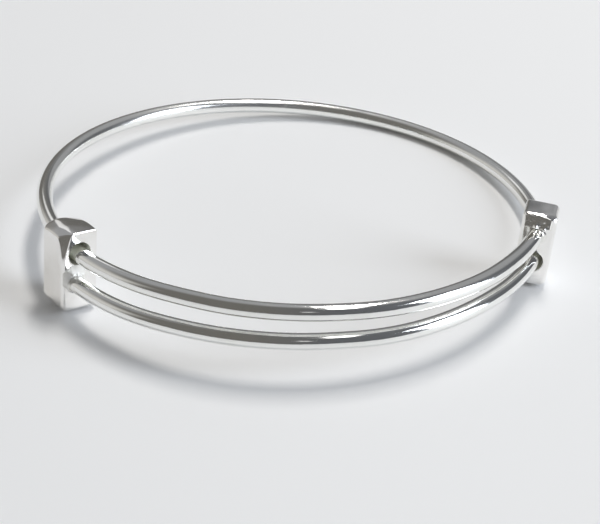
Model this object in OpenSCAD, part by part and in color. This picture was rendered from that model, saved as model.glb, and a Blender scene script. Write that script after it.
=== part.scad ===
// Adjustable wire bangle. One round silver wire makes the loop, and its two ends overlap
// across the front as an upper and a lower strand. Each end is soldered to a small drilled
// block, and the other strand slides through that block's bore, so the loop can be widened.
// The front of the loop faces -Y, and the bangle lies on the plane z = 0 as it rests there.

/* [Wire] */
// Thickness of the round wire
wire_d = 2.15; // [1.9:0.05:2.15]
// Radius of the loop, to the middle of the wire
loop_r = 33.4; // [28:0.1:36]
// Extra radius of the lower front strand over the loop
lower_ease = 0.3; // [0:0.1:1]
// Extra radius of the upper front strand over the loop
upper_ease = 0.1; // [0:0.1:1]
// Height from the lower to the upper front strand, middle to middle
strand_gap = 3.7; // [3.2:0.1:4.4]
// How far the left soldered end lies outside the strand that slides past it
left_end_out = 0.9; // [0.2:0.1:1]
// How far the right soldered end lies outside the strand that slides past it
right_end_out = 0.3; // [0.2:0.1:1]

/* [Blocks] */
// Direction of the left block from the middle of the loop, in degrees from +X
left_angle = 214.3; // [205:0.1:225]
// Direction of the right block from the middle of the loop, in degrees from +X
right_angle = 342.3; // [330:0.1:350]
// Width of the left block, from the inside of the loop to the outside
left_w = 5; // [3.8:0.1:5.4]
// Depth of the left block along the wire
left_d = 5.4; // [3.8:0.1:5.8]
// Height of the left block
left_h = 11; // [9:0.1:12]
// Width of the right block, which was cut a little smaller than the left one
right_w = 4.5; // [3.8:0.1:5.4]
// Depth of the right block along the wire
right_d = 4.5; // [3.8:0.1:5.8]
// Height of the right block
right_h = 10.4; // [9:0.1:12]
// Radius of a block's rounded edges
edge_r = 0.7; // [0.3:0.05:0.9]
// How far the left block's middle lies below the middle of the two strands
left_drop = 0.4; // [0:0.05:0.8]
// How far the right block's middle lies below the middle of the two strands
right_drop = 0.1; // [0:0.05:0.8]
// How far the left block's middle lies outside the wire that slides through it
left_out = 0.2; // [-0.2:0.05:0.4]
// How far the right block's middle lies outside the wire that slides through it
right_out = -0.05; // [-0.2:0.05:0.4]
// How far the top of the left block leans outward, in degrees
left_tip = -3.5; // [-6:0.5:6]
// How far the top of the right block leans outward, in degrees
right_tip = 4.5; // [-6:0.5:6]
// How far the left block is turned on the wire, in degrees
left_turn = 3; // [-6:0.5:6]
// How far the right block is turned on the wire, in degrees
right_turn = 5; // [-6:0.5:6]

/* [Bores] */
// Diameter of the bore that a strand slides through
bore_d = 3; // [3:0.1:3.3]
// How far the left bore's axis lies outside the wire in it
left_bore_out = -0.05; // [-0.1:0.05:0.1]
// How far the right bore's axis lies outside the wire in it
right_bore_out = -0.1; // [-0.1:0.05:0.1]
// How far the left bore's axis lies above the wire in it
left_bore_up = 0.25; // [-0.1:0.05:0.3]
// How far the right bore's axis lies above the wire in it
right_bore_up = 0.1; // [-0.1:0.05:0.3]

/* [Solder] */
// Diameter of the solder collar where it meets the block
solder_d = 3.4; // [2.8:0.1:3.6]
// Diameter of the collar at its waist
solder_waist_d = 2.5; // [2.3:0.1:2.7]
// Length of the steep part of the collar
solder_foot = 0.5; // [0.3:0.1:0.8]
// Whole length of the collar along the wire
solder_len = 1.6; // [1.2:0.1:2.4]

/* [Hidden] */
$fn = 96;
wire_r = wire_d / 2;
overlap = 0.3;                 // how deep one shape reaches into the one it is fused to
feather = 0.94;                // the collar's thin end, as a part of the wire's thickness
splice_r = 1.06 * wire_r;      // the sleeve that joins two arcs out of sight in a bore
splice_part = 0.3;             // its length, as a part of the block's depth
step = 1;                      // degrees between the wire points that find the resting pose

// The two blocks, the left one first
left = 0;
right = 1;
angles = [left_angle, right_angle];
widths = [left_w, right_w];
depths = [left_d, right_d];
heights = [left_h, right_h];
drops = [left_drop, right_drop];
outs = [left_out, right_out];
tips = [left_tip, right_tip];
turns = [left_turn, right_turn];
bore_outs = [left_bore_out, right_bore_out];
bore_ups = [left_bore_up, right_bore_up];

// Directions seen from above: outward from the loop's middle, and onward along the wire
function outward(a) = [cos(a), sin(a), 0];
function onward(a) = [-sin(a), cos(a), 0];
function raised(p, z) = [p[0], p[1], z];

// Where the wire slides through a block, and where its other end is soldered into it
slides_at = [raised(loop_r * outward(left_angle), strand_gap / 2),
             raised(loop_r * outward(right_angle), -strand_gap / 2)];
ends_at = [raised((loop_r + left_end_out) * outward(left_angle), -strand_gap / 2),
           raised((loop_r + right_end_out) * outward(right_angle), strand_gap / 2)];
lower_r = loop_r + lower_ease;
upper_r = loop_r + upper_ease;

// An arc from p to q: its own x axis runs from p to q, and its own y axis points to the back
function chord(p, q) = norm(q - p);
function chord_turn(p, q) = atan2(q[1] - p[1], q[0] - p[0]);
function chord_rise(p, q) = asin((q[2] - p[2]) / chord(p, q));
function centre_back(p, q, r) = sqrt(r * r - pow(chord(p, q) / 2, 2));
function centre_angle(p, q, r) = asin(centre_back(p, q, r) / r);
function on_arc(p, q, r, a) = (p + q) / 2 + r * cos(a) * (q - p) / chord(p, q)
    + (centre_back(p, q, r) + r * sin(a)) * onward(chord_turn(p, q));

// Points along the middle of the wire
function points_along(p, q, r, from, to) = [for (a = [from : step : to]) on_arc(p, q, r, a)];
function strand_points(p, q, r) = let (rise = centre_angle(p, q, r))
    points_along(p, q, r, 180 + rise, 360 - rise);
function back_points(p, q, r) = let (rise = centre_angle(p, q, r))
    points_along(p, q, r, -rise, 180 + rise);
back_wire = back_points(slides_at[left], slides_at[right], loop_r);
wire_points = concat(strand_points(ends_at[left], slides_at[right], lower_r),
    strand_points(slides_at[left], ends_at[right], upper_r), back_wire);

// Middles of the rounded corners of a block
function block_at(i) = raised((loop_r + outs[i]) * outward(angles[i]), -drops[i]);
function tipped(x, z, tip) = [x * cos(tip) + z * sin(tip), z * cos(tip) - x * sin(tip)];
function corner(i, x, y, z) = let (a = angles[i] + turns[i],
    xz = tipped(x * (widths[i] / 2 - edge_r), z * (heights[i] / 2 - edge_r), tips[i]))
    block_at(i) + xz[0] * outward(a) + y * (depths[i] / 2 - edge_r) * onward(a) + [0, 0, xz[1]];
corners = [for (i = [left, right], x = [-1, 1], y = [-1, 1], z = [-1, 1]) corner(i, x, y, z)];

// The bangle stands on one rear corner of each block, the inner one of the left block and the
// outer one of the right block. It is levelled along the line through those two corners, and
// then leans back about that line until its wire meets the surface.
left_foot = corner(left, -1, -1, -1);
right_foot = corner(right, 1, 1, -1);
foot_turn = chord_turn(left_foot, right_foot);
foot_rise = chord_rise(left_foot, right_foot);
function levelled(p) = let (side_up = tipped(p * outward(foot_turn), p[2], foot_rise))
    [side_up[0], p * onward(foot_turn), side_up[1]];
function from_foot(p) = levelled(p) - levelled(left_foot);
lean = min([for (p = back_wire) let (v = from_foot(p))
    atan2(v[2], v[1]) + asin((edge_r - wire_r) / norm([v[1], v[2]]))]);
function leaned(p) = let (v = levelled(p))
    v[0] * outward(foot_turn) + (v[1] * cos(lean) + v[2] * sin(lean)) * onward(foot_turn)
    + [0, 0, v[2] * cos(lean) - v[1] * sin(lean)];

// Lowest and highest place of the leaned bangle along one axis
wire_leaned = [for (p = wire_points) leaned(p)];
corners_leaned = [for (p = corners) leaned(p)];
function low(i) = min(concat([for (p = wire_leaned) p[i] - wire_r],
    [for (p = corners_leaned) p[i] - edge_r]));
function high(i) = max(concat([for (p = wire_leaned) p[i] + wire_r],
    [for (p = corners_leaned) p[i] + edge_r]));
rest_shift = [-(low(0) + high(0)) / 2, -(low(1) + high(1)) / 2, -low(2)];

// A stretch of wire bent to one radius, its angles counted in the arc's own plane
module bent_wire(p, q, r, from, sweep) {
    translate((p + q) / 2)
        rotate([0, -chord_rise(p, q), chord_turn(p, q)])
            translate([0, centre_back(p, q, r), 0])
                rotate([0, 0, from])
                    rotate_extrude(angle = sweep)
                        translate([r, 0])
                            circle(wire_r);
}

// A front strand, the short way from p to q
module strand(p, q, r) {
    rise = centre_angle(p, q, r);
    bent_wire(p, q, r, 180 + rise, 180 - 2 * rise);
}

// The back of the loop, the long way round
module back(p, q, r) {
    rise = centre_angle(p, q, r);
    bent_wire(p, q, r, -rise, 180 + 2 * rise);
}

// A short sleeve along the wire, in the middle of a block's bore
module splice(i) {
    translate(slides_at[i]) rotate([90, 0, angles[i]])
        cylinder(h = splice_part * depths[i], r = splice_r, center = true);
}

// The whole wire. Its arcs meet inside the bores.
module wire() {
    color("silver") {
        strand(ends_at[left], slides_at[right], lower_r);
        strand(slides_at[left], ends_at[right], upper_r);
        back(slides_at[left], slides_at[right], loop_r);
        splice(left);
        splice(right);
    }
}

module rounded_rectangle(a, b) {
    square([a - 2 * edge_r, b], center = true);
    square([a, b - 2 * edge_r], center = true);
    for (x = [-1, 1], y = [-1, 1])
        translate([x * (a / 2 - edge_r), y * (b / 2 - edge_r)]) circle(edge_r);
}

// A block with all its edges rounded
module rounded_block(w, d, h) {
    intersection() {
        linear_extrude(h, center = true) rounded_rectangle(w, d);
        rotate([90, 0, 0]) linear_extrude(d, center = true) rounded_rectangle(w, h);
        rotate([90, 0, 90]) linear_extrude(w, center = true) rounded_rectangle(d, h);
    }
}

// Puts what is built round the origin where a block belongs
module at_block(i) {
    translate(block_at(i)) rotate([0, tips[i], angles[i] + turns[i]]) children();
}

// A block in place, drilled along the wire that slides through it
module drilled_block(i) {
    color("silver") difference() {
        at_block(i) rounded_block(widths[i], depths[i], heights[i]);
        translate(slides_at[i] + bore_outs[i] * outward(angles[i]) + [0, 0, bore_ups[i]])
            rotate([90, 0, angles[i]])
                cylinder(h = 2 * depths[i], d = bore_d, center = true);
    }
}

// The solder between a strand's end and a block's front face. front is 1 where the front
// face looks onward along the loop, and -1 where it looks back. The collar is trimmed to
// the block's width.
module solder(i, front) {
    color("silver") intersection() {
        translate(ends_at[i]) rotate([-90 * front, 0, angles[i]])
            translate([0, 0, depths[i] / 2 - overlap]) {
                cylinder(h = solder_foot + overlap, d1 = solder_d, d2 = solder_waist_d);
                translate([0, 0, solder_foot + overlap])
                    cylinder(h = solder_len - solder_foot, d1 = solder_waist_d,
                             d2 = wire_d * feather);
            }
        at_block(i) cube([widths[i] - edge_r, 3 * depths[i], heights[i]], center = true);
    }
}

// Everything that is soldered together, laid down as it rests
module wire_bangle() {
    translate(rest_shift)
        rotate([0, 0, foot_turn]) rotate([-lean, 0, 0])
            rotate([0, foot_rise, 0]) rotate([0, 0, -foot_turn]) {
            wire();
            for (i = [left, right]) drilled_block(i);
            solder(left, 1);
            solder(right, -1);
        }
}

wire_bangle();
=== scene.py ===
import math

import bmesh
import bpy
from mathutils import Matrix, Vector, noise


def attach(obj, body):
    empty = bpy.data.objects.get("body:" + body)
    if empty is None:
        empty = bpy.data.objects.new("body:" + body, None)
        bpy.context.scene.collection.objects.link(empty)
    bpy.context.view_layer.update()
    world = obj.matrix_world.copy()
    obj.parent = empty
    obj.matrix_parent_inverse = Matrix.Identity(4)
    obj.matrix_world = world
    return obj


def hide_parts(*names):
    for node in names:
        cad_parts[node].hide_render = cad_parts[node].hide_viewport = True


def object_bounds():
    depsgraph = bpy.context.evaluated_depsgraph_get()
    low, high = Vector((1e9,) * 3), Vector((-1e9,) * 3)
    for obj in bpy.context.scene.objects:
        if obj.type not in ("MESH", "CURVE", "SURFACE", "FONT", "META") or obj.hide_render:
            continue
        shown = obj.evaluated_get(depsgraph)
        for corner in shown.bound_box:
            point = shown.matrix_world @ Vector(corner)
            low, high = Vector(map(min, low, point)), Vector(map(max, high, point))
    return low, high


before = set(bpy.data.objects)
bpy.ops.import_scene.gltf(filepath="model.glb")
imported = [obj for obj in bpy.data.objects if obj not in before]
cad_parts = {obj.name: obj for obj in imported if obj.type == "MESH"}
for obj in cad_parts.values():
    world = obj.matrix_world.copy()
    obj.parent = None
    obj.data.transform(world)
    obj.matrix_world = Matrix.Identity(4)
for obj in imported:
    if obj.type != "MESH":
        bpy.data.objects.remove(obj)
cad_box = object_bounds()

# Driving sizes of the bangle in millimetres, the same as in the part's source
MM = 0.001            # one millimetre in the scene's metres
WIRE_R = 1.075
LOOP_R = 33.4         # back of the loop, to the middle of the wire
LOWER_R = 33.7        # lower front strand
UPPER_R = 33.5        # upper front strand
STRAND_GAP = 3.7      # height from one front strand to the other, middle to middle
EDGE_R = 0.7          # rounding of the block corners that the bangle rests on
BORE_R = 1.5

# The photograph's frame, and the camera that matches it
PHOTO_W = 600                           # pixels across
FOCAL_PX = 1600                         # focal length, in the photograph's pixels
CAMERA_PITCH = math.radians(28.28)      # how far it looks down
CAMERA_ROLL = math.radians(1.67)        # how far it leans to one side
CAMERA_DISTANCE = 217.3                 # from the middle of the loop, in millimetres
CAMERA_RIGHT = 1.15                     # how far right of that middle its sight passes
CAMERA_UP = -8.33                       # how far above that middle
SENSOR_MM = 36
CLIP_START = 0.005                      # nearest point that the camera sees, in metres


# Places and directions, with the loop level


def outward(angle):
    """Level direction from the loop's middle."""
    return Vector((math.cos(angle), math.sin(angle), 0))


def onward(angle):
    """Level direction along the loop, a quarter turn on from outward."""
    return Vector((-math.sin(angle), math.cos(angle), 0))


def raised(p, z):
    """The point at height z straight above or below p."""
    return Vector((p.x, p.y, z))


def eased(t):
    """A smooth run from 0 to 1 while t goes from 0 to 1."""
    t = max(0.0, min(1.0, t))
    return t * t * (3 - 2 * t)


class Block:
    """One block's place on the loop, its size, and where the wire meets it. Angles are in
    degrees. Its middle lies outside the loop by out, and below the middle of the two strands
    by drop. Its soldered end lies outside the loop by end_out. Bore is how far the bore lies
    outside and above its wire. Front is 1 where the face with the soldered strand looks
    onward along the loop, and the upper strand slides through that block. Front is -1 on the
    other block."""

    def __init__(self, angle, size, out, drop, tip, turn, end_out, bore, front):
        self.angle = math.radians(angle)
        self.size = Vector(size)
        self.front = front
        self.centre = (LOOP_R + out) * outward(self.angle) - Vector((0, 0, drop))
        high = front * STRAND_GAP / 2
        self.slides_at = raised(LOOP_R * outward(self.angle), high)
        self.end_at = raised((LOOP_R + end_out) * outward(self.angle), -high)
        self.bore_at = raised((LOOP_R + bore[0]) * outward(self.angle), high + bore[1])
        self.axes = (Matrix.Rotation(self.angle + math.radians(turn), 3, "Z")
                     @ Matrix.Rotation(math.radians(tip), 3, "Y"))

    def at(self, x, y, z):
        """A point in the block's own axes: x outward, y onward along the loop, z up."""
        return self.centre + self.axes @ Vector((x, y, z))

    def own(self, p):
        """A point of the loop, in the block's own axes."""
        return self.axes.inverted() @ (p - self.centre)

    def corner(self, x, y, z):
        """Middle of a rounded corner, picked by the signs x, y and z."""
        half = self.size / 2 - Vector((EDGE_R, EDGE_R, EDGE_R))
        return self.at(x * half.x, y * half.y, z * half.z)


LEFT = Block(angle=214.3, size=(5, 5.4, 11), out=0.2, drop=0.4, tip=-3.5, turn=3,
             end_out=0.9, bore=(-0.05, 0.25), front=1)
RIGHT = Block(angle=342.3, size=(4.5, 4.5, 10.4), out=-0.05, drop=0.1, tip=4.5, turn=5,
              end_out=0.3, bore=(-0.1, 0.1), front=-1)


def arc(p, q, radius, long_way, steps):
    """Points on an arc from p to q, whose middle lies behind them. The long way runs round
    the back of the loop, and the short way across its front."""
    across = (q - p).normalized()
    back = onward(math.atan2(q.y - p.y, q.x - p.x))
    half = (q - p).length / 2
    dip = math.asin(math.sqrt(radius ** 2 - half ** 2) / radius)
    centre = (p + q) / 2 + radius * math.sin(dip) * back
    start = math.pi + dip if long_way else -math.pi + dip
    end = -dip
    angles = [start + (end - start) * i / steps for i in range(steps + 1)]
    return [centre + radius * (math.cos(a) * across + math.sin(a) * back) for a in angles]


# The bangle as it rests, and where the frame has it

LEAN_STEPS = 240      # points tried on the back of the wire, to find where it touches down
REACH_STEPS = 720     # points on the back of the wire, to find how far it reaches


def resting_turn():
    """Turn that lays the level bangle down on two block corners and the back of its wire."""
    left = LEFT.corner(-1, -1, -1)
    right = RIGHT.corner(1, 1, -1)
    turn = math.atan2(right.y - left.y, right.x - left.x)
    rise = math.asin((right.z - left.z) / (right - left).length)
    side, back = outward(turn), onward(turn)
    level = Matrix.Rotation(rise, 3, back)
    lean = math.pi
    for p in arc(LEFT.slides_at, RIGHT.slides_at, LOOP_R, True, LEAN_STEPS):
        v = level @ (p - left)
        reach = math.hypot(v.dot(back), v.z)
        angle = math.atan2(v.z, v.dot(back)) + math.asin((EDGE_R - WIRE_R) / reach)
        lean = min(lean, angle)
    return Matrix.Rotation(-lean, 3, side) @ level


REST = resting_turn()


def resting_shift():
    """Shift that brings the turned bangle to the left and back sides of the frame's box, and
    its corners down to the floor."""
    wire = [REST @ p
            for p in arc(LEFT.slides_at, RIGHT.slides_at, LOOP_R, True, REACH_STEPS)]
    low, high = cad_box
    left = min(p.x for p in wire) - WIRE_R
    back = max(p.y for p in wire) + WIRE_R
    bottom = (REST @ LEFT.corner(-1, -1, -1)).z - EDGE_R
    return Vector((low[0] / MM - left, high[1] / MM - back, -bottom))


SHIFT = resting_shift()


def placed(p):
    """A point of the level bangle, in metres where the resting bangle has it."""
    return (REST @ p + SHIFT) * MM


def placed_direction(d):
    """A direction on the level bangle, as the resting bangle has it."""
    return (REST @ d).normalized()


# Mesh helpers


def new_piece(name, verts, faces, material, smooth=True):
    """A mesh object in the scene."""
    mesh = bpy.data.meshes.new(name)
    mesh.from_pydata([tuple(v) for v in verts], [], faces)
    mesh.validate()
    mesh.update()
    piece = bpy.data.objects.new(name, mesh)
    bpy.context.scene.collection.objects.link(piece)
    piece.data.materials.append(material)
    for polygon in mesh.polygons:
        polygon.use_smooth = smooth
    return piece


def apply_modifiers(piece):
    """Make the mesh what its modifiers show."""
    graph = bpy.context.evaluated_depsgraph_get()
    mesh = bpy.data.meshes.new_from_object(piece.evaluated_get(graph))
    old = piece.data
    piece.modifiers.clear()
    piece.data = mesh
    bpy.data.meshes.remove(old)
    mesh.name = piece.name


def outward_normals(piece):
    """Turn every face of a closed mesh outward."""
    shape = bmesh.new()
    shape.from_mesh(piece.data)
    bmesh.ops.recalc_face_normals(shape, faces=shape.faces)
    shape.to_mesh(piece.data)
    shape.free()


def claim(piece):
    """Tie a piece to the frame."""
    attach(piece, "root")
    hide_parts("wire_bangle")


# Materials


class Nodes:
    """Short calls for a node tree."""

    def __init__(self, tree):
        self.tree = tree

    def add(self, kind, **values):
        """A new node, with the inputs and settings that are named."""
        node = self.tree.nodes.new(kind)
        for key, value in values.items():
            if key in node.inputs:
                node.inputs[key].default_value = value
            else:
                setattr(node, key, value)
        return node

    def link(self, source, target):
        self.tree.links.new(source, target)

    def stretched(self, coordinates, scale):
        node = self.add("ShaderNodeMapping", Scale=scale)
        self.link(coordinates, node.inputs["Vector"])
        return node.outputs["Vector"]

    def noise(self, coordinates, scale, detail, rough):
        node = self.add("ShaderNodeTexNoise", Scale=scale, Detail=detail, Roughness=rough)
        self.link(coordinates, node.inputs["Vector"])
        return node.outputs["Fac"]

    def ranged(self, value, low, high, to_low, to_high, run="LINEAR"):
        """Runs from to_low to to_high while the value goes from low to high."""
        node = self.add("ShaderNodeMapRange", interpolation_type=run)
        node.inputs["From Min"].default_value = low
        node.inputs["From Max"].default_value = high
        node.inputs["To Min"].default_value = to_low
        node.inputs["To Max"].default_value = to_high
        self.link(value, node.inputs["Value"])
        return node.outputs["Result"]

    def bump(self, height, distance, strength, below=None):
        """A bumpy surface, on top of the one below."""
        node = self.add("ShaderNodeBump", Distance=distance, Strength=strength)
        self.link(height, node.inputs["Height"])
        if below is not None:
            self.link(below, node.inputs["Normal"])
        return node.outputs["Normal"]

    def split(self, vector):
        """The vector's X, Y and Z."""
        node = self.add("ShaderNodeSeparateXYZ")
        self.link(vector, node.inputs["Vector"])
        return node.outputs

    def joined(self, operation, first, second):
        """Two values joined by a sum, a product or the like."""
        node = self.add("ShaderNodeMath", operation=operation)
        self.link(first, node.inputs[0])
        self.link(second, node.inputs[1])
        return node.outputs["Value"]

    def mix(self, share, first, second):
        """From first to second as share goes from 0 to 1. Each is a color or an output."""
        node = self.add("ShaderNodeMix", data_type="RGBA")
        self.link(share, node.inputs["Factor"])
        for value, target in ((first, node.inputs["A"]), (second, node.inputs["B"])):
            if isinstance(value, tuple):
                target.default_value = (*value, 1)
            else:
                self.link(value, target)
        return node.outputs["Result"]


def new_material(name):
    """A material, its node tree and its shader."""
    material = bpy.data.materials.new(name)
    material.use_nodes = True
    tree = material.node_tree
    return material, Nodes(tree), tree.nodes["Principled BSDF"]


# The silver's textures, finer across a piece than along it, and their heights in metres
DRAW_LINES = (60, 2400, 1)
HAIRLINES = (900, 9000, 1)
PATCHES = 260
RIPPLES = 140
LINE_HEIGHT = 0.00002
HAIR_HEIGHT = 0.000006
RIPPLE_HEIGHT = 0.0004
RUBBED_FROM = 0.005       # y where the rubbed back of the loop begins, in metres
RUBBED_TO = 0.028         # y where it is rubbed in full


def silver(name, bright, dull, polish, wear, scratch, ripple, rubbed=0.0, metal=1.0):
    """Silver with patches between bright and dull in color, and between polish and wear in
    roughness. Scratch sets its draw lines and hairlines, and ripple the slow waves left by
    hand finishing. At the back of the loop it is rougher by rubbed."""
    material, n, shader = new_material(name)
    uv = n.add("ShaderNodeUVMap").outputs["UV"]
    place = n.add("ShaderNodeTexCoord").outputs["Object"]
    lines = n.noise(n.stretched(uv, DRAW_LINES), scale=1, detail=4, rough=0.6)
    hairs = n.noise(n.stretched(uv, HAIRLINES), scale=1, detail=2, rough=0.5)
    patches = n.noise(place, scale=PATCHES, detail=4, rough=0.6)
    waves = n.noise(place, scale=RIPPLES, detail=1, rough=0.4)
    color = n.mix(n.ranged(patches, 0.45, 0.75, 0, 1), bright, dull)
    n.link(color, shader.inputs["Base Color"])
    roughness = n.ranged(patches, 0.35, 0.75, polish, wear)
    if rubbed:
        y = n.split(place)["Y"]
        extra = n.ranged(y, RUBBED_FROM, RUBBED_TO, 0, rubbed)
        roughness = n.joined("ADD", roughness, extra)
    n.link(roughness, shader.inputs["Roughness"])
    surface = n.bump(waves, RIPPLE_HEIGHT, ripple)
    surface = n.bump(lines, LINE_HEIGHT, scratch, surface)
    surface = n.bump(hairs, HAIR_HEIGHT, scratch, surface)
    n.link(surface, shader.inputs["Normal"])
    shader.inputs["Metallic"].default_value = metal
    return material


WIRE_SILVER = silver("wire_silver", bright=(0.93, 0.93, 0.91), dull=(0.88, 0.88, 0.85),
                     polish=0.08, wear=0.14, scratch=0.35, ripple=0.05, rubbed=0.12)
BLOCK_SILVER = silver("block_silver", bright=(0.94, 0.93, 0.91), dull=(0.88, 0.87, 0.84),
                      polish=0.07, wear=0.15, scratch=0.3, ripple=0.12)
DULL_SOLDER = silver("dull_solder", bright=(0.88, 0.87, 0.84), dull=(0.76, 0.75, 0.71),
                     polish=0.42, wear=0.58, scratch=0.5, ripple=0.4)
BRIGHT_SOLDER = silver("bright_solder", bright=(0.9, 0.89, 0.86), dull=(0.78, 0.77, 0.73),
                       polish=0.15, wear=0.26, scratch=0.5, ripple=0.3)

# The insides of the bores are a dull olive grey non-metal, paler than silver looks in so deep
# a hollow: painted reflection, standing in for the light that the bore walls mirror from the
# wire and the floor
BORE_PAINTED_REFLECTION = silver("bore_painted_reflection", bright=(0.86, 0.86, 0.76), dull=(0.78, 0.78, 0.68),
                     polish=0.4, wear=0.6, scratch=0.3, ripple=0.1, metal=0.0)


# Wire, in millimetres from here on

WIRE_STEP = 0.35      # length of wire from one ring of points to the next
RING_SIDES = 56
BACK_STEPS = 460
FRONT_STEPS = 260
SMOOTHINGS = 60       # passes that ease the wire from one arc into the next

# The strands were bent by hand. Each pair is a place across the front and the rise there.
LOWER_BENDS = ((-20, 0), (-13, 0.14), (-6, 0.12), (1, 0.06), (6, 0.04), (11, -0.12),
               (15, -0.12), (19, 0), (24, 0.18), (29, 0.2))
UPPER_BENDS = ((-26, 0), (-20, 0.15), (-13, 0.28), (-6, 0.13), (1, 0.03), (6, -0.04),
               (10, -0.17), (14, -0.22), (24, -0.2), (28, 0.02), (32, 0.2))


def bent(points, bends):
    """Points raised by the bends, smoothly from one bend to the next."""
    risen = []
    for p in points:
        rise = bends[0][1] if p.x < bends[0][0] else bends[-1][1]
        for (x0, rise0), (x1, rise1) in zip(bends, bends[1:]):
            if x0 <= p.x < x1:
                rise = rise0 + (rise1 - rise0) * eased((p.x - x0) / (x1 - x0))
        risen.append(p + Vector((0, 0, rise)))
    return risen


def wire_path():
    """The middle of the whole wire, from its soldered left end to its soldered right end."""
    lower = arc(LEFT.end_at, RIGHT.slides_at, LOWER_R, False, FRONT_STEPS)
    around = arc(LEFT.slides_at, RIGHT.slides_at, LOOP_R, True, BACK_STEPS)
    upper = arc(LEFT.slides_at, RIGHT.end_at, UPPER_R, False, FRONT_STEPS)
    path = bent(lower, LOWER_BENDS)[:-1] + around[:0:-1] + bent(upper, UPPER_BENDS)
    for _ in range(SMOOTHINGS):
        inner = [(a + 2 * b + c) / 4 for a, b, c in zip(path, path[1:], path[2:])]
        path = [path[0], *inner, path[-1]]
    return path


def resampled(path, step):
    """Evenly spaced points on path, about a step apart."""
    lengths = [0.0]
    for a, b in zip(path, path[1:]):
        lengths.append(lengths[-1] + (b - a).length)
    count = max(2, round(lengths[-1] / step))
    points, i = [], 0
    for k in range(count + 1):
        want = lengths[-1] * k / count
        while i < len(lengths) - 2 and lengths[i + 1] < want:
            i += 1
        part = (want - lengths[i]) / (lengths[i + 1] - lengths[i])
        points.append(path[i].lerp(path[i + 1], part))
    return points


def make_wire():
    """A round tube with closed ends. Its UV map holds the length along it and its girth."""
    path = resampled(wire_path(), WIRE_STEP)
    last = len(path) - 1
    verts, faces, uvs = [], [], []
    side = Vector((0, 0, 1))
    for i, p in enumerate(path):
        ahead = (path[min(i + 1, last)] - path[max(i - 1, 0)]).normalized()
        side = (side - side.dot(ahead) * ahead).normalized()
        across = ahead.cross(side)
        for k in range(RING_SIDES):
            a = math.tau * k / RING_SIDES
            verts.append(placed(p + WIRE_R * (math.cos(a) * side + math.sin(a) * across)))
    for i in range(last):
        for k in range(RING_SIDES):
            after = (k + 1) % RING_SIDES
            faces.append((i * RING_SIDES + k, i * RING_SIDES + after,
                          (i + 1) * RING_SIDES + after, (i + 1) * RING_SIDES + k))
            uvs.append([(i, k), (i, k + 1), (i + 1, k + 1), (i + 1, k)])
    faces.append(tuple(range(RING_SIDES)))
    faces.append(tuple(last * RING_SIDES + k for k in range(RING_SIDES)))
    piece = new_piece("wire", verts, faces, WIRE_SILVER)
    layer = piece.data.uv_layers.new(name="UVMap")
    girth = math.tau * WIRE_R / RING_SIDES
    for polygon, corners in zip(piece.data.polygons, uvs):
        for loop, (i, k) in zip(polygon.loop_indices, corners):
            layer.data[loop].uv = (i * WIRE_STEP * MM, k * girth * MM)
    outward_normals(piece)
    return piece


# Blocks

SIDES = 16            # points round a bore in the cage
TIGHT = 0.14          # how close the cage's loops run to its edges
RIM = 0.1             # rounding of a bore's mouth
RIM_RING = 2.2        # the ring outside the mouth, in rims from the bore
SLEEVE_RING = 3       # the ring inside the mouth, in rims from the face
SMOOTH_LEVELS = 4     # subdivisions of the cage
TINY = 1e-9


def circle(radius):
    """Points of a circle in the cage. Subdivision draws them in, so they start farther out."""
    grown = radius / (2 / 3 + math.cos(math.tau / SIDES) / 3)
    angles = [math.tau * i / SIDES for i in range(SIDES)]
    return [(grown * math.cos(a), grown * math.sin(a)) for a in angles]


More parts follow.
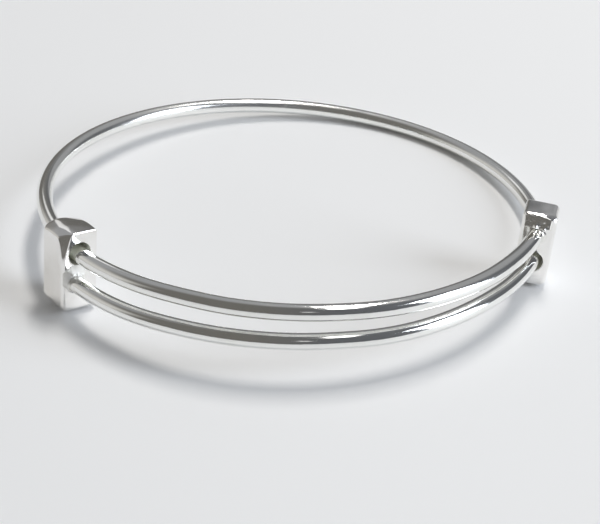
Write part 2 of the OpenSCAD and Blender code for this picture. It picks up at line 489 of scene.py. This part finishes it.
def block_cage(block):
    """Points and faces of a sharp block with a bore, in the block's own axes, and the number
    of the first face inside the bore."""
    mouth = block.own(block.bore_at)
    course = block.axes.inverted() @ onward(block.angle)
    half = block.size / 2

    def bore_at(y):
        shift = (y - mouth.y) / course.y
        return mouth.x + shift * course.x, mouth.z + shift * course.z

    # Loops of the cage: four cells across the bore, and more along the rest of the block
    bore_x, bore_z = bore_at(0)
    up = 1 if bore_z > 0 else -1
    reach = half.x - TIGHT
    step = reach * math.tan(math.pi / 8)
    xs = [-half.x, -reach, bore_x - step, bore_x, bore_x + step, reach, half.x]
    end = up * (half.z - TIGHT)
    far = bore_z - up * reach
    round_bore = [end, bore_z + up * step, bore_z, bore_z - up * step, far]
    beyond = [far + (-end - far) * part for part in (0.33, 0.66, 1)]
    zs = sorted([up * half.z] + round_bore + beyond + [-up * half.z])
    ys = [-half.y, TIGHT - half.y, -half.y / 3, half.y / 3, half.y - TIGHT, half.y]
    verts, index, faces = [], {}, []

    def vert(x, y, z):
        key = (round(x, 6), round(y, 6), round(z, 6))
        if key not in index:
            index[key] = len(verts)
            verts.append(key)
        return index[key]

    # The two faces that the bore goes through, less the square round it
    low, high = min(round_bore), max(round_bore)
    for y in (-half.y, half.y):
        for x0, x1 in zip(xs, xs[1:]):
            for z0, z1 in zip(zs, zs[1:]):
                inside_x = x0 > xs[0] + TINY and x1 < xs[-1] - TINY
                inside_z = z0 > low - TINY and z1 < high + TINY
                if not (inside_x and inside_z):
                    faces.append((vert(x0, y, z0), vert(x1, y, z0),
                                  vert(x1, y, z1), vert(x0, y, z1)))
    # The other four faces
    for x in (-half.x, half.x):
        for y0, y1 in zip(ys, ys[1:]):
            for z0, z1 in zip(zs, zs[1:]):
                faces.append((vert(x, y0, z0), vert(x, y1, z0),
                              vert(x, y1, z1), vert(x, y0, z1)))
    for z in (-half.z, half.z):
        for y0, y1 in zip(ys, ys[1:]):
            for x0, x1 in zip(xs, xs[1:]):
                faces.append((vert(x0, y0, z), vert(x1, y0, z),
                              vert(x1, y1, z), vert(x0, y1, z)))

    # The square round the bore, its points in the same order as the circle's
    _, x_low, x_left, _, x_right, x_high, _ = xs
    z_low, z_high = bore_z - step, bore_z + step
    square = [(x_high, bore_z), (x_high, z_high), (x_high, high), (x_right, high),
              (bore_x, high), (x_left, high), (x_low, high), (x_low, z_high),
              (x_low, bore_z), (x_low, z_low), (x_low, low), (x_left, low),
              (bore_x, low), (x_right, low), (x_high, low), (x_high, z_low)]

    def bore_ring(radius, y):
        x_mid, z_mid = bore_at(y)
        return [vert(x_mid + x, y, z_mid + z) for x, z in circle(radius)]

    def band(first, second):
        for i in range(SIDES):
            j = (i + 1) % SIDES
            faces.append((first[i], first[j], second[j], second[i]))

    mouths = []
    for y in (-half.y, half.y):
        inward = -1 if y > 0 else 1
        mouths.append([
            [vert(x, y, z) for x, z in square],
            bore_ring(BORE_R + RIM_RING * RIM, y),
            bore_ring(BORE_R + RIM, y),
            bore_ring(BORE_R, y + inward * RIM),
            bore_ring(BORE_R, y + inward * SLEEVE_RING * RIM),
        ])
    for rings in mouths:
        for first, second in zip(rings[:4], rings[1:4]):
            band(first, second)
    bore_start = len(faces)
    for rings in mouths:
        band(rings[3], rings[4])
    band(mouths[0][4], mouths[1][4])
    return verts, faces, bore_start


def rounded(u, v, half_u, half_v, radii):
    """Round the edges of a box's section. radii holds the low and high v of the low u side,
    and then those of the high u side."""
    across, up = u / half_u, v / half_v
    radius = (radii[0] * (1 - across) * (1 - up) + radii[1] * (1 - across) * (1 + up)
              + radii[2] * (1 + across) * (1 - up) + radii[3] * (1 + across) * (1 + up)) / 4
    core_u = max(radius - half_u, min(half_u - radius, u))
    core_v = max(radius - half_v, min(half_v - radius, v))
    du, dv = u - core_u, v - core_v
    length = math.hypot(du, dv)
    grow = max(abs(du), abs(dv)) / length if length > TINY else 1
    return core_u + grow * du, core_v + grow * dv


FLAT = 1000           # roundness of a flat cut
WAVER = 0.03          # how far the faces stray from true
WAVER_SCALE = 0.55    # strays in a millimetre
WAVER_SEED = 4        # makes them stray alike in every run
SOFT_END = 30         # depth past which a soft cut is a full one

noise.seed_set(WAVER_SEED)


def shaped(block, v, upright, along, across, crown, cuts):
    """A point of a sharp block, moved to where the filed block has it. Here y is toward the
    front. Upright, along and across hold the radii of the edges that run up the block, along
    the wire and across it, as rounded takes them. Crown is how far the faces bulge along x,
    y and z. A cut is a point, the way its file faced, its softness and how round the file
    left it."""
    half = block.size / 2
    p = Vector((v.x, block.front * v.y, v.z))
    p.x, p.y = rounded(p.x, p.y, half.x, half.y, upright)
    p.x, p.z = rounded(p.x, p.z, half.x, half.z, along)
    p.y, p.z = rounded(p.y, p.z, half.y, half.z, across)
    part = Vector((p.x / half.x, p.y / half.y, p.z / half.z))
    p.x -= crown[0] * part.x * (part.y ** 2 + part.z ** 2) / 2
    p.y -= crown[1] * part.y * part.x ** 2
    p.z -= crown[2] * part.z * (part.x ** 2 + part.y ** 2) / 2
    for point, direction, soft, radius in cuts:
        way = p - Vector(point) + radius * Vector(direction).normalized()
        depth = (way.length - radius) / soft
        press = math.log1p(math.exp(depth)) if depth < SOFT_END else depth
        p -= way.normalized() * soft * press
    p.y *= block.front
    return p + noise.noise_vector(p * WAVER_SCALE + block.centre) * WAVER


# How the blocks were filed. The cuts are the wedge down the left block's outer front corner
# and two worn places on its top, and then, on the right block, the worn foot of its outer
# front corner, the lens along its top front edge and the small facet outside that.
LEFT_SHAPE = dict(
    upright=(1.0, 0.4, 0.7, 0.4),
    along=(0.6, 0.5, 1.2, 0.3),
    across=(1.2, 0.7, 0.9, 0.18),
    crown=(0.04, 0.06, 0.1),
    cuts=[
        ((2.5, 2.7, 0.8), (0.8, 0.6, 0.21), 0.05, FLAT),
        ((-1.6, -1.8, 5.3), (-0.35, -0.35, 0.87), 0.25, FLAT),
        ((1.3, -0.4, 5.42), (0.5, -0.05, 0.87), 0.15, 20),
    ],
)
RIGHT_SHAPE = dict(
    upright=(0.6, 0.4, 0.8, 0.5),
    along=(0.5, 0.5, 0.9, 0.8),
    across=(0.6, 0.9, 0.7, 0.3),
    crown=(0.04, 0.06, 0.08),
    cuts=[
        ((2.25, 2.25, -4.85), (0.45, 0.2, -0.87), 0.15, FLAT),
        ((-0.6, 2.0, 5.13), (0.07, 0.49, 0.87), 0.04, 20),
        ((2.06, 2.08, 4.15), (0.66, 0.69, 0.3), 0.04, FLAT),
    ],
)


def map_block(piece):
    """A UV map in metres, with u up the sides and onward over the top and foot."""
    layer = piece.data.uv_layers.new(name="UVMap")
    for polygon in piece.data.polygons:
        facing = polygon.normal
        is_side = abs(facing.z) < 0.7
        for loop in polygon.loop_indices:
            p = piece.data.vertices[piece.data.loops[loop].vertex_index].co * MM
            level = p.y if abs(facing.x) > abs(facing.y) else p.x
            layer.data[loop].uv = (p.z if is_side else p.y, level)


def make_block(name, block, shape):
    """A hand-filed block with a bore, smoothed from a cage."""
    verts, faces, bore_start = block_cage(block)
    piece = new_piece(name, verts, faces, BLOCK_SILVER)
    # The bore's walls take the pale non-metal, whose colour is painted reflection
    piece.data.materials.append(BORE_PAINTED_REFLECTION)
    for polygon in piece.data.polygons[bore_start:]:
        polygon.material_index = 1
    outward_normals(piece)
    smoother = piece.modifiers.new("smooth", "SUBSURF")
    smoother.levels = smoother.render_levels = SMOOTH_LEVELS
    apply_modifiers(piece)
    map_block(piece)
    for polygon in piece.data.polygons:
        polygon.use_smooth = True
    for vertex in piece.data.vertices:
        vertex.co = placed(block.at(*shaped(block, vertex.co, **shape)))
    return piece


# Solder

SOLDER_GRID = 0.05       # spacing of the solder's points
COLLAR_START = 0.95      # where a collar starts, in radii of the wire
COLLAR_CURVE = 2.6       # how hollow a collar is
RAMP_EDGE = 0.3          # width over which a ramp begins and ends
RIPPLE_SHARE = 0.25      # how much the ripples change the depth
RIPPLE_DEPTH = 0.3       # solder thicker than this has no deeper ripples
SUNK = 0.03              # how far below the face clean stretches lie
NEAR = 0.1               # least distance from the strand's middle that is divided by

# Each pair is a ripple's turns in a millimetre and its strength
SOLDER_RIPPLES = ((1.6, 0.6), (4, 0.25))


def solder_depth(x, z, strand, collar, ramp, blobs, seed):
    """How far the solder stands out of a block's face at x and z. The collar runs up the
    strand by its reach, spreads by its spread, and leans up or down. The ramp thickens by its
    slope from its top down to its bottom, between low_x and high_x. A blob has a place, a
    height and a size."""
    from_strand = math.hypot(x - strand.x, z - strand.z)
    upward = (z - strand.z) / max(from_strand, NEAR)
    reach, spread, lean = collar
    leaned = 1 + lean * upward
    along = 1 - (from_strand - COLLAR_START * WIRE_R) / (spread * leaned)
    depth = reach * leaned * max(0.0, min(1.0, along)) ** COLLAR_CURVE
    slope, top, bottom, low_x, high_x = ramp
    fall = slope * max(0.0, top - z)
    for inside in (z - bottom, x - low_x, high_x - x):
        fall *= eased(inside / RAMP_EDGE)
    depth += fall
    for blob_x, blob_z, height, size in blobs:
        depth += height * math.exp(-((x - blob_x) ** 2 + (z - blob_z) ** 2) / size ** 2)
    ripple = sum(strength * noise.noise(Vector((scale * x, scale * z, seed)))
                 for scale, strength in SOLDER_RIPPLES)
    return depth + RIPPLE_SHARE * ripple * min(depth, RIPPLE_DEPTH) - SUNK


def make_solder(name, block, material, shape, collar, ramp, blobs, seed):
    """Lumpy solder over a block's face, round the strand that is fixed there."""
    half = block.size / 2
    strand = block.own(block.end_at)
    columns = round(block.size.x / SOLDER_GRID)
    rows = round(block.size.z / SOLDER_GRID)
    verts, depths, uvs = [], [], []
    for j in range(rows + 1):
        for i in range(columns + 1):
            x = -half.x + block.size.x * i / columns
            z = -half.z + block.size.z * j / rows
            depth = solder_depth(x, z, strand, collar, ramp, blobs, seed)
            p = shaped(block, Vector((x, block.front * half.y, z)), **shape)
            p.y += block.front * depth
            verts.append(placed(block.at(*p)))
            depths.append(depth)
            uvs.append((z * MM, x * MM))
    faces = []
    for j in range(rows):
        for i in range(columns):
            a = j * (columns + 1) + i
            face = (a, a + columns + 1, a + columns + 2, a + 1)
            if max(depths[v] for v in face) > 0:
                faces.append(face if block.front > 0 else tuple(reversed(face)))
    piece = new_piece(name, verts, faces, material)
    layer = piece.data.uv_layers.new(name="UVMap")
    for loop in piece.data.loops:
        layer.data[loop.index].uv = uvs[loop.vertex_index]
    return piece


# The left block's solder is a thin skin with four small lumps and no ramp
NO_RAMP = (0, 0, 0, 0, 0)
LEFT_BLOBS = [(0.9, -0.6, 0.11, 1.5), (1.8, 0.4, 0.1, 0.18), (1.15, 0.0, 0.1, 0.18),
              (0.3, -0.3, 0.1, 0.2), (-0.4, -0.5, 0.08, 0.2)]

# The right block's solder thickens down from the top edge, with two lumps at the low end
RIGHT_RAMP = (0.3, 5.0, 3.15, -2.1, 1.75)
RIGHT_BLOBS = [(-0.35, 3.6, 0.3, 0.27), (0.75, 3.4, 0.28, 0.28)]

for built in (
    make_wire(),
    make_block("left_block", LEFT, LEFT_SHAPE),
    make_block("right_block", RIGHT, RIGHT_SHAPE),
    make_solder("left_solder", LEFT, DULL_SOLDER, LEFT_SHAPE, collar=(0.3, 0.4, -0.3),
                ramp=NO_RAMP, blobs=LEFT_BLOBS, seed=3.0),
    make_solder("right_solder", RIGHT, BRIGHT_SOLDER, RIGHT_SHAPE, collar=(0.1, 0.3, 0.5),
                ramp=RIGHT_RAMP, blobs=RIGHT_BLOBS, seed=8.0),
):
    claim(built)


# Floor, camera and light, in metres

PAPER = (0.88, 0.883, 0.883, 1)
FLOOR_HALF = 2.0
GRAIN_HEIGHT = 0.0001


def make_floor():
    """Pale paper with a faint grain."""
    material, n, shader = new_material("paper")
    shader.inputs["Base Color"].default_value = PAPER
    shader.inputs["Roughness"].default_value = 0.6
    place = n.add("ShaderNodeTexCoord").outputs["Object"]
    grain = n.noise(place, scale=900, detail=3, rough=0.6)
    n.link(n.bump(grain, GRAIN_HEIGHT, 0.05), shader.inputs["Normal"])
    signs = ((-1, -1), (1, -1), (1, 1), (-1, 1))
    corners = [(x * FLOOR_HALF, y * FLOOR_HALF, 0) for x, y in signs]
    floor = new_piece("floor", corners, [(0, 1, 2, 3)], material, smooth=False)


def make_camera():
    """The camera, placed from the level bangle's own axes."""
    forward = Vector((0, math.cos(CAMERA_PITCH), -math.sin(CAMERA_PITCH)))
    right = Vector((1, 0, 0))
    up = right.cross(forward)
    place = -CAMERA_DISTANCE * forward + CAMERA_RIGHT * right + CAMERA_UP * up
    c, s = math.cos(CAMERA_ROLL), math.sin(CAMERA_ROLL)
    axes = [placed_direction(c * right + s * up), placed_direction(c * up - s * right),
            placed_direction(-forward)]
    data = bpy.data.cameras.new("camera")
    data.sensor_width = SENSOR_MM
    data.lens = FOCAL_PX / PHOTO_W * SENSOR_MM
    data.clip_start = CLIP_START
    camera = bpy.data.objects.new("camera", data)
    bpy.context.scene.collection.objects.link(camera)
    turn = Matrix(axes).transposed().to_4x4()
    camera.matrix_world = Matrix.Translation(placed(place)) @ turn
    bpy.context.scene.camera = camera


def panel(name, place, shines, width, height, glow, color, turn=0):
    """A soft rectangular light, its width across and its height up or to the back. Glow is
    its radiance and turn its angle about the way it shines, in degrees."""
    data = bpy.data.lights.new(name, "AREA")
    data.shape = "RECTANGLE"
    data.size, data.size_y = width, height
    data.energy = glow * math.pi * width * height
    data.color = color
    lamp = bpy.data.objects.new(name, data)
    bpy.context.scene.collection.objects.link(lamp)
    aim = Vector(shines).to_track_quat("-Z", "Y").to_matrix().to_4x4()
    spin = Matrix.Rotation(math.radians(turn), 4, "Z")
    lamp.matrix_world = Matrix.Translation(place) @ aim @ spin


# Tones of the room's parts
DARK_LEFT = (0.15, 0.145, 0.135)
DARK_RIGHT = (0.115, 0.12, 0.13)
PALE_BACK = (0.31, 0.315, 0.325)
LEFT_WALL = (0.58, 0.57, 0.55)


def make_room():
    """A dim room, whose parts are seen as mirror images in the silver."""
    world = bpy.data.worlds.new("room")
    bpy.context.scene.world = world
    world.use_nodes = True
    n = Nodes(world.node_tree)
    way = n.split(n.add("ShaderNodeTexCoord").outputs["Generated"])

    def share(axis, none, full):
        """Runs from 0 to 1 as the way looked in goes from none to full along an axis."""
        return n.ranged(way[axis], none, full, 0, 1, "SMOOTHSTEP")

    # Dark on the camera's side, and warmer at the left
    tone = n.mix(share("X", -0.3, 0.4), DARK_LEFT, DARK_RIGHT)
    # Paler behind the bangle, both high up and a little to the right
    high = share("Z", 0.3, 0.55)
    right = n.joined("MULTIPLY", share("X", 0.15, 0.26), share("X", 0.85, 0.6))
    behind = n.joined("MULTIPLY", share("Y", -0.1, 0.4), n.joined("MAXIMUM", high, right))
    back = n.joined("MULTIPLY", behind, share("X", 0.9, 0.6))
    tone = n.mix(back, tone, PALE_BACK)
    # A light wall at the left, below the ceiling, that ends toward the camera
    wall = n.joined("MULTIPLY", share("X", -0.5, -0.85), share("Z", 0.7, 0.3))
    wall = n.joined("MULTIPLY", wall, share("Y", -0.45, -0.2))
    tone = n.mix(wall, tone, LEFT_WALL)
    n.link(tone, world.node_tree.nodes["Background"].inputs["Color"])


def make_light():
    """The room, and the panels that cast the shadows and the bright mirror images."""
    make_room()
    bpy.context.scene.view_settings.view_transform = "Standard"
    white = (1, 1, 1)
    panel("window", place=(1.5, -0.47, 0.78), shines=(-1, 0, 0), width=0.8, height=1.5,
          glow=6.8, color=(0.93, 0.99, 1.08))
    # A narrow skylight, and the bright patch in it that casts the clear front shadow
    panel("skylight", place=(0.165, 0.08, 0.7), shines=(0, 0, -1), width=0.12, height=0.62,
          glow=3, color=white, turn=9)
    panel("sky", place=(0.141, 0.232, 0.699), shines=(0, 0, -1), width=0.12, height=0.29,
          glow=19.5, color=(1.03, 1.0, 0.96), turn=9)
    # A small lamp beside the camera, and a dim card that the left block's top mirrors
    panel("lamp", place=(0.031, -0.215, 0.165), shines=(-0.1, 0.7, -0.7), width=0.02,
          height=0.025, glow=0.9, color=white)
    panel("card", place=(-0.194, 0.4385, 0.264), shines=(0.3, -0.83, -0.46), width=0.13,
          height=0.15, glow=0.5, color=white, turn=-31)


make_floor()
make_camera()
make_light()
